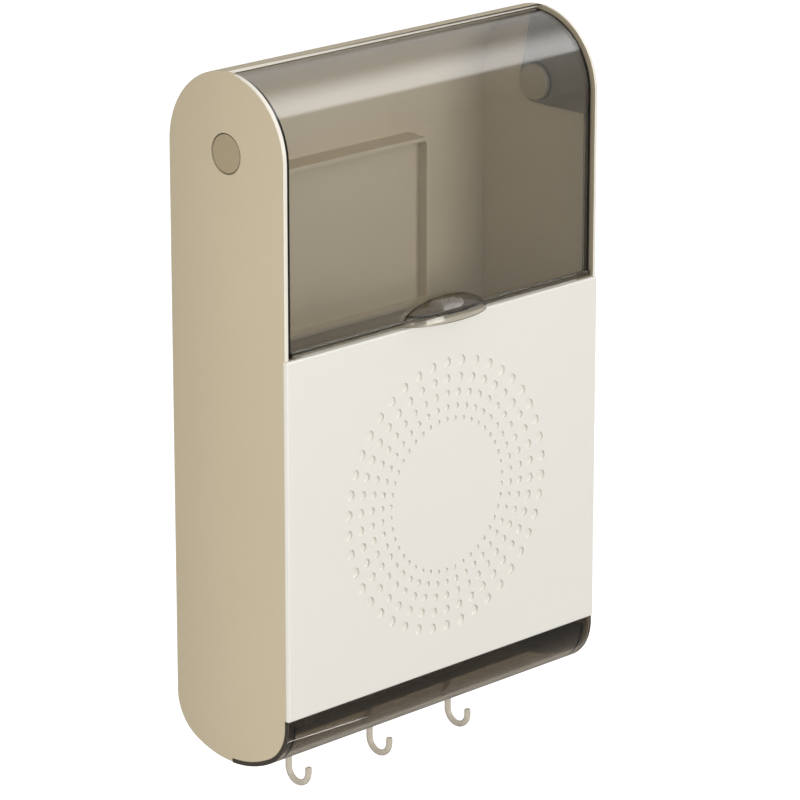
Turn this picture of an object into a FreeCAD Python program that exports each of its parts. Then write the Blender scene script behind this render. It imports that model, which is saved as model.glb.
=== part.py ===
"""Wall-mounted chopstick holder with a flip lid, a drain basket, a drip tray and three hooks.

Millimetres. X runs to the right, Y into the wall, Z up. The origin lies on the wall
at the middle of the wall plate. Heights called rise are measured up from the lowest
point of the housing, and depths called run are measured back from its front edge.
"""
import FreeCAD, Part
import math
import os
from FreeCAD import Vector

# Housing, outside
width = 260.0
depth = 95.0
height = 416.0
wall_gap = 1.0
bottom_rise = 33.5
bottom_corner_radius = 29.0
edge_round = 1.0

# Housing, walls
side_wall = 2.4
shell_wall = 1.8

# Front panel and its dimples
panel_bottom_rise = 37.8
panel_top_rise = 255.3
panel_thickness = 3.0
panel_proud = 1.5
panel_edge_round = 1.2
panel_end_gap = 0.2
panel_shelf_run = 8.0
panel_shelf_thickness = 2.0
tongue_thickness = 2.0
tongue_run = 8.0
tongue_margin = 12.0
tongue_gap = 0.3
snap_count = 3
snap_length = 14.0
snap_gap = 0.5
dimple_ring_count = 5
dimples_per_ring = 42
dimple_depth = 1.3
dimple_first_ring = 47.0
dimple_ring_gap = 7.4
dimple_ring_gap_growth = 0.87
dimple_first_diameter = 3.0
dimple_diameter_growth = 0.85

# Lid
lid_gap = 0.3
lid_side_gap = 0.5
lid_thickness = 2.2
lid_tuck_degrees = 5.0
lid_rest_gap = 1.0
lid_lip_run = 5.0
lid_lip_thickness = 2.0
ear_thickness = 2.0
ear_flange_run = 5.9
ear_boss_radius = 13.0
handle_half_width = 34.0
handle_height = 12.5
handle_reach = 14.0
handle_wall = 1.8

# Lid pivots
pivot_radius = 12.0
running_gap = 0.08
pivot_shank_radius = 8.0
pivot_spigot_radius = 5.0
pivot_spigot_length = 1.6
pivot_cap_radius = 11.2
pivot_cap_thickness = 2.8
fit_gap = 0.05

# Drip tray
tray_sheet = 2.6
tray_wall = 2.0
tray_edge_gap = 0.3
tray_top_gap = 0.5
tray_floor_rise = 10.5
tray_rim_rise = 33.0
tray_rear_run = 78.0
tray_flange_thickness = 2.0
tray_flange_front_run = 24.0
rail_width = 3.0
rail_height = 2.5
rail_rise = 22.5
rail_front_run = 20.0
rail_back_run = 84.0
slide_gap = 0.3
slide_side_gap = 0.5

# Drain basket and its dividers
basket_side_gap = 3.1
basket_front_gap = 1.5
basket_back_gap = 1.8
basket_floor_rise = 47.5
basket_rim_rise = 205.0
basket_wall = 1.8
basket_corner = 6.0
basket_lip = 1.2
basket_lip_height = 4.0
ledge_width = 8.0
ledge_thickness = 3.0
seat_gap = 0.2
divider_thickness = 1.8
divider_gap = 0.4
divider_drop = 25.0
divider_notch_radius = 11.0
groove_rib = 1.2
groove_depth = 2.5
drain_slot_end_gap = 13.0
drain_slot_side_gap = 14.6
drain_slot_width = 4.0
drain_slots_per_cell = 4

# Hooks and their push-on retainers
hook_side_inset = 61.3
hook_behind_middle = 16.3
hook_rod_radius = 2.0
hook_bend_radius = 8.5
hook_low_drop = 34.0
hook_tip_length = 2.2
hook_collar_radius = 4.0
hook_collar_thickness = 1.4
hook_hole_gap = 0.1
hook_boss_radius = 5.5
hook_boss_low_rise = 0.4
hook_boss_top_rise = 6.0
hook_stem_over = 2.2
retainer_radius = 5.0
retainer_thickness = 1.2

# Wall plate, its bay in the housing and its foam pad
plate_rise = 288.0
bay_width = 132.0
bay_height = 104.0
bay_rim = 2.5
bay_reach = 7.0
bay_floor = 2.0
bay_corner = 5.0
plate_gap = 2.5
plate_thickness = 2.2
plate_corner = 8.0
plate_screw_inset = 16.0
plate_screw_hole_radius = 2.25
plate_hook_width = 20.0
plate_hook_height = 4.0
plate_hook_lip = 2.0
plate_hook_engage = 7.0
plate_hook_z = 15.0
plate_hook_gap = 0.4
catch_thickness = 2.0
catch_height = 8.0
catch_web = 3.0
pad_margin = 4.0
pad_hole_radius = 4.5

# Soft stops
wall_bumper_radius = 6.0
wall_bumper_inset = 35.0
wall_bumper_rise = 75.0
lid_bumper_radius = 2.5
lid_bumper_height = 0.8
lid_bumper_inset = 22.6
bumper_stem_radius = 1.5
bumper_barb_radius = 2.4
bumper_barb_height = 1.2

# Planes and levels that follow from these sizes
back_y = -wall_gap
front_y = back_y - depth
mid_y = back_y - depth / 2
bottom_z = -plate_rise
top_z = bottom_z + height
pivot_z = top_z - depth / 2
spring_z = bottom_z + bottom_rise
inner_half = width / 2 - side_wall
panel_bottom_z = bottom_z + panel_bottom_rise
panel_top_z = bottom_z + panel_top_rise
panel_back_y = front_y + panel_thickness - panel_proud
corner_run = depth / 2 - bottom_corner_radius
arch_rise = (corner_run ** 2 - (bottom_rise - bottom_corner_radius) ** 2) / (
    2 * (bottom_rise - bottom_corner_radius)
)
arch_turn = math.atan2(arch_rise, corner_run)
lid_outer = depth / 2 - shell_wall - lid_gap
lid_inner = lid_outer - lid_thickness
lid_half = inner_half - lid_side_gap
lid_front_y = mid_y - lid_outer
lid_bottom_z = panel_top_z + lid_rest_gap
tray_top_z = panel_bottom_z - tray_top_gap
tray_rear_y = front_y + tray_rear_run
tub_half = inner_half - rail_width - slide_side_gap
tray_floor_z = bottom_z + tray_floor_rise
tray_rim_z = bottom_z + tray_rim_rise
rail_z = bottom_z + rail_rise
plate_front_y = back_y - plate_thickness
catch_back_y = plate_front_y - plate_hook_gap
catch_front_y = catch_back_y - catch_thickness
lip_back_y = catch_front_y - plate_hook_gap
lip_front_y = lip_back_y - plate_hook_lip
recess_y = lip_front_y - plate_hook_gap
bay_floor_y = recess_y - bay_floor
bay_front_y = bay_floor_y - bay_reach
tongue_end_y = panel_back_y + tongue_run
basket_front_y = tongue_end_y + basket_front_gap
basket_back_y = bay_front_y - basket_back_gap
basket_half = inner_half - basket_side_gap
ledge_top_z = bottom_z + basket_floor_rise - seat_gap
basket_base_z = bottom_z + basket_floor_rise
basket_floor_z = basket_base_z + basket_wall
basket_rim_z = bottom_z + basket_rim_rise
divider_spacing = basket_half / 2
hook_spacing = width / 2 - hook_side_inset
hook_y = mid_y + hook_behind_middle
hook_bend_z = bottom_z - hook_low_drop + hook_rod_radius + hook_bend_radius
hook_boss_low_z = bottom_z + hook_boss_low_rise
hook_boss_top_z = bottom_z + hook_boss_top_rise
plate_half_x = bay_width / 2 - bay_rim - plate_gap
plate_half_z = bay_height / 2 - bay_rim - plate_gap
plate_screw_x = plate_half_x - plate_screw_inset
plate_hook_x = bay_width / 6
lid_bumper_y = panel_back_y + panel_shelf_run / 2

# A cut runs this far past the faces that it opens.
past = 1.0


def block(x0, x1, y0, y1, z0, z1):
    """Box between two corners."""
    return Part.makeBox(x1 - x0, y1 - y0, z1 - z0, Vector(x0, y0, z0))


def rod(radius, start, direction, length):
    """Round bar from a point along an axis."""
    return Part.makeCylinder(radius, length, Vector(*start), Vector(*direction))


def rounded_plate(x0, x1, y0, y1, z0, z1, corner):
    """Plate square to Y whose four upright corners are rounded."""
    plate = block(x0, x1, y0, y1, z0, z1)
    edges = [edge for edge in plate.Edges if abs(edge.tangentAt(edge.FirstParameter).y) > 0.99]
    return plate.makeFillet(corner, edges)


def point(run, rise):
    """Point of the side view, from the middle of the depth and from the frame's height 0."""
    return Vector(0, mid_y + run, rise)


def line(start, end):
    return Part.LineSegment(start, end).toShape()


def arc(start, middle, end):
    return Part.Arc(start, middle, end).toShape()


def polar(centre_run, centre_z, radius, angle):
    """Point of the side view at an angle up from the back."""
    return point(centre_run + radius * math.cos(angle), centre_z + radius * math.sin(angle))


def across(face, x0, x1):
    """Side view face made solid from one X to another."""
    moved = face.copy()
    moved.translate(Vector(x0, 0, 0))
    return moved.extrude(Vector(x1 - x0, 0, 0))


def side_face(inset):
    """Side view of the housing, drawn in by inset: round top, straight sides, three-centred bottom."""
    half = depth / 2 - inset
    corner = bottom_corner_radius - inset
    back_meet = polar(corner_run, spring_z, corner, -arch_turn)
    front_meet = polar(-corner_run, spring_z, corner, math.pi + arch_turn)
    edges = [
        arc(point(-half, pivot_z), point(0, pivot_z + half), point(half, pivot_z)),
        line(point(half, pivot_z), point(half, spring_z)),
        arc(point(half, spring_z), polar(corner_run, spring_z, corner, -arch_turn / 2), back_meet),
        arc(back_meet, point(0, bottom_z + inset), front_meet),
        arc(
            front_meet,
            polar(-corner_run, spring_z, corner, math.pi + arch_turn / 2),
            point(-half, spring_z),
        ),
        line(point(-half, spring_z), point(-half, pivot_z)),
    ]
    return Part.Face(Part.Wire(edges))


def both_sides(make):
    """The solids that make(side) gives for the left and the right side."""
    return [make(side) for side in (-1, 1)]


def side_block(side, inner, outer, y0, y1, z0, z1):
    """Box between two distances from the middle, on one side."""
    low, high = sorted((side * inner, side * outer))
    return block(low, high, y0, y1, z0, z1)


def snap_heights():
    """Heights of the snaps that hold the panel, evenly spread along its tongues."""
    low = panel_bottom_z + tongue_margin
    high = panel_top_z - tongue_margin
    step = (high - low) / snap_count
    return [low + step * (index + 0.5) for index in range(snap_count)]


def snap_y():
    return (panel_back_y + tongue_end_y) / 2


def housing_shell():
    """Side walls, back, rear top and rear bottom in one moulding, open along the front."""
    outer = across(side_face(0), -width / 2, width / 2)
    rims = [edge for edge in outer.Edges if abs(edge.tangentAt(edge.FirstParameter).x) < 0.5]
    shell = outer.makeFillet(edge_round, rims)
    shell = shell.cut(across(side_face(shell_wall), -inner_half, inner_half))
    shell = shell.cut(
        block(-inner_half, inner_half, front_y - past, mid_y, bottom_z - past, top_z + past)
    )
    outside = across(side_face(-past), -width, width)
    tray_rebate = outside.cut(across(side_face(tray_sheet + tray_edge_gap), -width, width))
    tray_zone = block(
        -width, width, front_y - past, mid_y + tray_edge_gap, bottom_z - past, panel_bottom_z
    )
    shell = shell.cut(tray_rebate.common(tray_zone))
    panel_rebate = block(
        -width, width, front_y - past, panel_back_y,
        panel_bottom_z - past, panel_top_z + panel_end_gap,
    )
    return shell.cut(panel_rebate)


def bay_block(inset, y0, y1):
    """Rounded block over the outline of the wall plate's bay, drawn in by inset."""
    half_x = bay_width / 2 - inset
    half_z = bay_height / 2 - inset
    return rounded_plate(-half_x, half_x, y0, y1, -half_z, half_z, bay_corner - inset)


def plate_hook_offsets():
    return (-plate_hook_x, plate_hook_x)


def plate_catch():
    """Bar across the recess behind the bay, with webs to its floor, that hangs on the plate's hooks."""
    half = (bay_width - bay_rim) / 2
    low = plate_hook_z + plate_hook_height + seat_gap
    high = low + catch_height
    bars = [block(-half, half, catch_front_y, catch_back_y, low, high)]
    for x in (-2 * plate_hook_x, 0, 2 * plate_hook_x):
        bars.append(
            block(
                x - catch_web / 2, x + catch_web / 2,
                recess_y - bay_floor / 2, catch_back_y, low, high,
            )
        )
    return bars


def tray_rail(side):
    return side_block(
        side, inner_half - rail_width, inner_half + side_wall / 2,
        front_y + rail_front_run, front_y + rail_back_run, rail_z - rail_height, rail_z,
    )


def basket_ledge(side):
    return side_block(
        side, inner_half - ledge_width, inner_half + side_wall / 2,
        basket_front_y, basket_back_y, ledge_top_z - ledge_thickness, ledge_top_z,
    )


def snap_nib(side, z):
    """Nib on the side wall that catches a window in the panel's tongue."""
    reach = tongue_gap + tongue_thickness - snap_gap
    half_y = tongue_run / 4 - snap_gap
    half_z = snap_length / 2 - snap_gap
    return side_block(
        side, inner_half - reach, inner_half + side_wall / 2,
        snap_y() - half_y, snap_y() + half_y, z - half_z, z + half_z,
    )


def hook_places():
    return {"left": -hook_spacing, "middle": 0.0, "right": hook_spacing}


def wall_bumper_places():
    offset = width / 2 - wall_bumper_inset
    return {"left": -offset, "right": offset}


def make_housing():
    shell = housing_shell()
    adds = [bay_block(0, bay_front_y, back_y - shell_wall / 2)]
    adds += both_sides(tray_rail)
    adds += both_sides(basket_ledge)
    for z in snap_heights():
        adds += both_sides(lambda side: snap_nib(side, z))
    for x in hook_places().values():
        boss_height = hook_boss_top_z - hook_boss_low_z
        adds.append(rod(hook_boss_radius, (x, hook_y, hook_boss_low_z), (0, 0, 1), boss_height))
    shell = shell.fuse(adds)
    cuts = [
        bay_block(bay_rim, bay_front_y - past, bay_floor_y),
        bay_block(bay_rim, recess_y, back_y + past),
        rod(pivot_radius + running_gap, (-width, mid_y, pivot_z), (1, 0, 0), 2 * width),
    ]
    for x in hook_places().values():
        hole = hook_rod_radius + hook_hole_gap
        cuts.append(rod(hole, (x, hook_y, bottom_z - past), (0, 0, 1), hook_boss_top_rise + 2 * past))
    for x in wall_bumper_places().values():
        hole = bumper_stem_radius + fit_gap
        z = bottom_z + wall_bumper_rise
        cuts.append(rod(hole, (x, back_y - shell_wall - past, z), (0, 1, 0), shell_wall + 2 * past))
    return shell.cut(cuts).fuse(plate_catch()).removeSplitter()


def dimples():
    """Rings of round dimples, the same number in each ring, larger and wider apart outwards."""
    middle_z = (panel_bottom_z + panel_top_z) / 2
    face_y = front_y - panel_proud
    cuts = []
    ring_radius = dimple_first_ring
    for ring in range(dimple_ring_count):
        radius = (dimple_first_diameter + ring * dimple_diameter_growth) / 2
        for index in range(dimples_per_ring):
            angle = 2 * math.pi * index / dimples_per_ring
            x = ring_radius * math.sin(angle)
            z = middle_z + ring_radius * math.cos(angle)
            cuts.append(rod(radius, (x, face_y - past, z), (0, 1, 0), dimple_depth + past))
        ring_radius += dimple_ring_gap + ring * dimple_ring_gap_growth
    return cuts


def panel_tongue(side):
    """Upright tongue behind the panel, just inside one side wall, with windows for the snaps."""
    outer = inner_half - tongue_gap
    inner = outer - tongue_thickness
    tongue = side_block(
        side, inner, outer, panel_back_y - panel_proud, tongue_end_y,
        panel_bottom_z + tongue_margin, panel_top_z - tongue_margin,
    )
    windows = [
        side_block(
            side, inner - past, outer + past, snap_y() - tongue_run / 4, snap_y() + tongue_run / 4,
            z - snap_length / 2, z + snap_length / 2,
        )
        for z in snap_heights()
    ]
    return tongue.cut(windows)


def lid_bumper_places():
    offset = inner_half - lid_bumper_inset
    return {"left": -offset, "right": offset}


def make_front_panel():
    face_y = front_y - panel_proud
    slab = block(-width / 2, width / 2, face_y, panel_back_y, panel_bottom_z, panel_top_z)
    rim = [edge for edge in slab.Edges if edge.BoundBox.YMax < face_y + panel_thickness / 2]
    slab = slab.makeFillet(panel_edge_round, rim)
    shelf = block(
        -inner_half + tongue_margin, inner_half - tongue_margin, panel_back_y - panel_proud,
        panel_back_y + panel_shelf_run, panel_top_z - panel_shelf_thickness, panel_top_z,
    )
    panel = slab.fuse([shelf] + both_sides(panel_tongue))
    cuts = dimples()
    for x in lid_bumper_places().values():
        hole = bumper_stem_radius + fit_gap
        low = panel_top_z - panel_shelf_thickness - past
        cuts.append(rod(hole, (x, lid_bumper_y, low), (0, 0, 1), panel_shelf_thickness + 2 * past))
    return panel.cut(cuts).removeSplitter()


def lid_sheet():
    """Quarter round over the top and flat front of the lid, with a lip along its lower edge."""
    tuck = math.pi / 2 - math.radians(lid_tuck_degrees)
    half_way = (tuck + math.pi) / 2
    outer_end = polar(0, pivot_z, lid_outer, tuck)
    inner_end = polar(0, pivot_z, lid_inner, tuck)
    edges = [
        arc(outer_end, polar(0, pivot_z, lid_outer, half_way), point(-lid_outer, pivot_z)),
        line(point(-lid_outer, pivot_z), point(-lid_outer, lid_bottom_z)),
        line(point(-lid_outer, lid_bottom_z), point(-lid_inner, lid_bottom_z)),
        line(point(-lid_inner, lid_bottom_z), point(-lid_inner, pivot_z)),
        arc(point(-lid_inner, pivot_z), polar(0, pivot_z, lid_inner, half_way), inner_end),
        line(inner_end, outer_end),
    ]
    sheet = across(Part.Face(Part.Wire(edges)), -lid_half, lid_half)
    lip = block(
        -lid_half, lid_half, lid_front_y, lid_front_y + lid_lip_run,
        lid_bottom_z, lid_bottom_z + lid_lip_thickness,
    )
    return sheet.fuse(lip)


def lid_ear(side):
    """Side plate of the lid: a round boss at the pivot, and a narrow flange down the front edge."""
    tuck = math.pi / 2 - math.radians(lid_tuck_degrees)
    reach = lid_outer - lid_thickness / 2
    touch = tuck - math.acos(ear_boss_radius / reach)
    start = polar(0, pivot_z, reach, tuck)
    boss_back = polar(0, pivot_z, ear_boss_radius, touch)
    boss_low = point(0, pivot_z - ear_boss_radius)
    flange_run = -lid_outer + ear_flange_run
    flange_low_z = lid_bottom_z + lid_lip_thickness / 2
    edges = [
        line(start, boss_back),
        arc(boss_back, polar(0, pivot_z, ear_boss_radius, touch / 2 - math.pi / 4), boss_low),
        line(boss_low, point(flange_run, pivot_z - ear_boss_radius)),
        line(point(flange_run, pivot_z - ear_boss_radius), point(flange_run, flange_low_z)),
        line(point(flange_run, flange_low_z), point(-reach, flange_low_z)),
        line(point(-reach, flange_low_z), point(-reach, pivot_z)),
        arc(point(-reach, pivot_z), polar(0, pivot_z, reach, (tuck + math.pi) / 2), start),
    ]
    low, high = sorted((side * lid_half, side * (lid_half - ear_thickness)))
    return across(Part.Face(Part.Wire(edges)), low, high)


def stretched_ball(half_x, half_y, half_z):
    """Ellipsoid in the middle of the lid's lower front edge."""
    stretch = FreeCAD.Matrix()
    stretch.scale(half_x, half_y, half_z)
    ball = Part.makeSphere(1.0).transformGeometry(stretch)
    ball.translate(Vector(0, lid_front_y, lid_bottom_z))
    return ball


def lid_handle():
    """Cup-shaped finger pull, open below."""
    cup = stretched_ball(handle_half_width, handle_reach, handle_height)
    hollow = stretched_ball(
        handle_half_width - handle_wall, handle_reach - handle_wall, handle_height - handle_wall
    )
    front = block(
        -handle_half_width, handle_half_width, lid_front_y - handle_reach,
        lid_front_y + lid_thickness / 2, lid_bottom_z, lid_bottom_z + handle_height,
    )
    return cup.cut(hollow).common(front)


def make_lid():
    lid = lid_sheet().fuse(both_sides(lid_ear) + [lid_handle()])
    hole = rod(pivot_shank_radius + fit_gap, (-width, mid_y, pivot_z), (1, 0, 0), 2 * width)
    return lid.cut(hole).removeSplitter()


def make_pivot(side):
    """Pivot pin: a disc that turns in the side wall, and a shank through the lid's ear."""
    out = (-side, 0, 0)
    disc = rod(pivot_radius, (side * width / 2, mid_y, pivot_z), out, side_wall + lid_side_gap)
    shank_start = side * lid_half
    shank = rod(pivot_shank_radius, (shank_start, mid_y, pivot_z), out, ear_thickness)
    spigot_start = side * (lid_half - ear_thickness)
    spigot = rod(pivot_spigot_radius, (spigot_start, mid_y, pivot_z), out, pivot_spigot_length)
    return disc.fuse([shank, spigot]).removeSplitter()


def make_pivot_cap(side):
    """Cap that snaps on the pivot's spigot, inside the ear."""
    start = side * (lid_half - ear_thickness)
    inward = (-side, 0, 0)
    cap = rod(pivot_cap_radius, (start, mid_y, pivot_z), inward, pivot_cap_thickness)
    face = max(cap.Edges, key=lambda edge: -side * edge.BoundBox.Center.x)
    cap = cap.makeFillet(edge_round, [face])
    socket_depth = pivot_spigot_length + fit_gap
    socket = rod(pivot_spigot_radius + fit_gap, (start, mid_y, pivot_z), inward, socket_depth)
    return cap.cut(socket)


def tray_front_sheet():
    """Curved front of the tray, as wide as the housing."""
    ring = across(side_face(0), -width / 2, width / 2).cut(
        across(side_face(tray_sheet), -width, width)
    )
    zone = block(-width, width, front_y - past, mid_y, bottom_z - past, tray_top_z)
    return ring.common(zone)


def tub_end(side):
    """End wall of the tray, closing the curved front and the flat floor behind it."""
    outer = tub_half
    inner = tub_half - tray_wall
    low, high = sorted((side * inner, side * outer))
    front = across(side_face(tray_sheet - tray_edge_gap), low, high).common(
        block(-width, width, front_y, mid_y, bottom_z, tray_rim_z)
    )
    back = side_block(side, inner, outer, mid_y, tray_rear_y, tray_floor_z, tray_rim_z)
    flange = side_block(
        side, inner, inner_half - slide_side_gap, front_y + tray_flange_front_run, tray_rear_y,
        rail_z + slide_gap, rail_z + slide_gap + tray_flange_thickness,
    )
    return front.fuse([back, flange])


def make_drip_tray():
    floor = block(
        -tub_half, tub_half, mid_y - tray_wall, tray_rear_y,
        tray_floor_z, tray_floor_z + tray_wall,
    )
    riser = block(
        -tub_half, tub_half, mid_y - tray_wall, mid_y,
        bottom_z + tray_sheet / 2, tray_floor_z + tray_wall,
    )
    rear = block(
        -tub_half, tub_half, tray_rear_y - tray_wall, tray_rear_y, tray_floor_z, tray_rim_z
    )
    parts = [floor, riser, rear] + both_sides(tub_end)
    return tray_front_sheet().fuse(parts).removeSplitter()


def upright_box(half_x, y0, y1, z0, z1, corner):
    """Box whose upright edges are rounded."""
    solid = block(-half_x, half_x, y0, y1, z0, z1)
    edges = [edge for edge in solid.Edges if abs(edge.tangentAt(edge.FirstParameter).z) > 0.99]
    return solid.makeFillet(corner, edges)


def divider_places():
    return {"left": -divider_spacing, "middle": 0.0, "right": divider_spacing}


def divider_groove_ribs():
    """Pairs of upright ribs, front and back, that each divider slides between."""
    offset = divider_thickness / 2 + divider_gap
    top = basket_rim_z - divider_drop
    ribs = []
    for x in divider_places().values():
        for side in (-1, 1):
            low, high = sorted((x + side * offset, x + side * (offset + groove_rib)))
            front = basket_front_y + basket_wall
            back = basket_back_y - basket_wall
            ribs.append(
                block(low, high, front - basket_wall / 2, front + groove_depth, basket_base_z, top)
            )
            ribs.append(
                block(low, high, back - groove_depth, back + basket_wall / 2, basket_base_z, top)
            )
    return ribs


def cell_middles():
    """Middle of each compartment across the basket."""
    walls = [-basket_half] + list(divider_places().values()) + [basket_half]
    return [(walls[index] + walls[index + 1]) / 2 for index in range(len(walls) - 1)]


def drain_slots():
    """Rows of round-ended slots in the floor of each compartment."""
    radius = drain_slot_width / 2
    pitch = (divider_spacing - 2 * drain_slot_side_gap) / (drain_slots_per_cell - 1)
    y0 = basket_front_y + drain_slot_end_gap + radius
    y1 = basket_back_y - drain_slot_end_gap - radius
    low = basket_base_z - past
    tall = basket_wall + 2 * past
    cuts = []
    for middle_x in cell_middles():
        for index in range(drain_slots_per_cell):
            x = middle_x + (index - (drain_slots_per_cell - 1) / 2) * pitch
            cuts.append(block(x - radius, x + radius, y0, y1, low, low + tall))
            cuts.append(rod(radius, (x, y0, low), (0, 0, 1), tall))
            cuts.append(rod(radius, (x, y1, low), (0, 0, 1), tall))
    return cuts


def make_basket():
    tub = upright_box(
        basket_half, basket_front_y, basket_back_y, basket_base_z, basket_rim_z, basket_corner
    )
    hollow = upright_box(
        basket_half - basket_wall, basket_front_y + basket_wall, basket_back_y - basket_wall,
        basket_floor_z, basket_rim_z + past, basket_corner - basket_wall,
    )
    lip = upright_box(
        basket_half + basket_lip, basket_front_y - basket_lip, basket_back_y + basket_lip,
        basket_rim_z - basket_lip_height, basket_rim_z, basket_corner + basket_lip,
    )
    return tub.fuse(lip).cut(hollow).fuse(divider_groove_ribs()).cut(drain_slots()).removeSplitter()


def make_divider(x):
    """Loose wall between two compartments, with a finger notch in its upper edge."""
    y0 = basket_front_y + basket_wall + divider_gap
    y1 = basket_back_y - basket_wall - divider_gap
    top = basket_rim_z - divider_drop
    half = divider_thickness / 2
    plate = block(x - half, x + half, y0, y1, basket_floor_z + seat_gap, top)
    notch = rod(
        divider_notch_radius, (x - divider_thickness, (y0 + y1) / 2, top), (1, 0, 0),
        2 * divider_thickness,
    )
    return plate.cut(notch)


def make_hook(x):
    """J hook: stem up through the housing, half turn to the front and a short round-ended tip."""
    stem_top = hook_boss_top_z + retainer_thickness + hook_stem_over
    tip_y = hook_y - 2 * hook_bend_radius
    tip_top = hook_bend_z + hook_tip_length
    bend_start = Vector(x, hook_y, hook_bend_z)
    bend_low = Vector(x, hook_y - hook_bend_radius, hook_bend_z - hook_bend_radius)
    bend_end = Vector(x, tip_y, hook_bend_z)
    path = Part.Wire([
        line(Vector(x, hook_y, stem_top), bend_start),
        arc(bend_start, bend_low, bend_end),
        line(bend_end, Vector(x, tip_y, tip_top)),
    ])
    ring = Part.Wire(Part.makeCircle(hook_rod_radius, Vector(x, hook_y, stem_top), Vector(0, 0, -1)))
    bar = path.makePipeShell([ring], True, False)
    tip = Part.makeSphere(hook_rod_radius, Vector(x, tip_y, tip_top))
    collar_low = hook_boss_low_z - hook_collar_thickness
    collar = rod(hook_collar_radius, (x, hook_y, collar_low), (0, 0, 1), hook_collar_thickness)
    return bar.fuse([tip, collar]).removeSplitter()


def make_hook_retainer(x):
    """Push-on washer that holds a hook's stem from inside."""
    base = (x, hook_y, hook_boss_top_z)
    disc = rod(retainer_radius, base, (0, 0, 1), retainer_thickness)
    return disc.cut(rod(hook_rod_radius + fit_gap, base, (0, 0, 1), retainer_thickness))


def plate_hook(x):
    """Hook of the wall plate: a shank under the housing's catch and a lip that turns up before it."""
    half = plate_hook_width / 2
    shank_top = plate_hook_z + plate_hook_height
    shank = block(
        x - half, x + half, lip_front_y, plate_front_y + plate_thickness / 2, plate_hook_z, shank_top
    )
    lip = block(
        x - half, x + half, lip_front_y, lip_back_y, plate_hook_z, shank_top + plate_hook_engage
    )
    return shank.fuse(lip)


def plate_screw_cuts(radius):
    """Round holes through plate and pad on the lines of the two wall screws."""
    run = plate_thickness + wall_gap + 2 * past
    return [
        rod(radius, (side * plate_screw_x, plate_front_y - past, 0), (0, 1, 0), run)
        for side in (-1, 1)
    ]


def make_wall_plate():
    plate = rounded_plate(
        -plate_half_x, plate_half_x, plate_front_y, -wall_gap,
        -plate_half_z, plate_half_z, plate_corner,
    )
    plate = plate.fuse([plate_hook(x) for x in plate_hook_offsets()])
    return plate.cut(plate_screw_cuts(plate_screw_hole_radius)).removeSplitter()


def make_wall_pad():
    half_x = plate_half_x - pad_margin
    half_z = plate_half_z - pad_margin
    pad = rounded_plate(-half_x, half_x, -wall_gap, 0, -half_z, half_z, plate_corner - pad_margin)
    return pad.cut(plate_screw_cuts(pad_hole_radius))


def bumper(head_radius, head_height, wall, place, direction):
    """Rubber stop: a round head, a stem through a wall and a barb behind it."""
    out = Vector(*direction)
    base = Vector(*place)
    head = Part.makeCylinder(head_radius, head_height, base, out)
    top = max(head.Edges, key=lambda edge: edge.BoundBox.Center.dot(out))
    head = head.makeFillet(head_height / 2, [top])
    stem = Part.makeCylinder(bumper_stem_radius, wall, base, -out)
    barb = Part.makeCylinder(bumper_barb_radius, bumper_barb_height, base - out * wall, -out)
    return head.fuse([stem, barb]).removeSplitter()


def make_wall_bumper(x):
    place = (x, back_y, bottom_z + wall_bumper_rise)
    return bumper(wall_bumper_radius, wall_gap, shell_wall, place, (0, 1, 0))


def make_lid_bumper(x):
    place = (x, lid_bumper_y, panel_top_z)
    return bumper(lid_bumper_radius, lid_bumper_height, panel_shelf_thickness, place, (0, 0, 1))


def make_pieces():
    """Every piece of the holder by name."""
    pieces = {
        "housing": make_housing(),
        "front_panel": make_front_panel(),
        "lid": make_lid(),
        "drip_tray": make_drip_tray(),
        "basket": make_basket(),
        "wall_plate": make_wall_plate(),
        "wall_pad": make_wall_pad(),
    }
    for name, side in (("left", -1), ("right", 1)):
        pieces["lid_pivot_" + name] = make_pivot(side)
        pieces["pivot_cap_" + name] = make_pivot_cap(side)
    for name, x in divider_places().items():
        pieces["divider_" + name] = make_divider(x)
    for name, x in hook_places().items():
        pieces["hook_" + name] = make_hook(x)
        pieces["hook_retainer_" + name] = make_hook_retainer(x)
    for name, x in wall_bumper_places().items():
        pieces["wall_bumper_" + name] = make_wall_bumper(x)
    for name, x in lid_bumper_places().items():
        pieces["lid_bumper_" + name] = make_lid_bumper(x)
    return pieces


def main():
    os.makedirs("parts", exist_ok=True)
    for name, shape in make_pieces().items():
        shape.exportStep("parts/" + name + ".step")
        print(name, "solids", len(shape.Solids), "valid", shape.isValid(), "volume", round(shape.Volume))


main()
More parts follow.
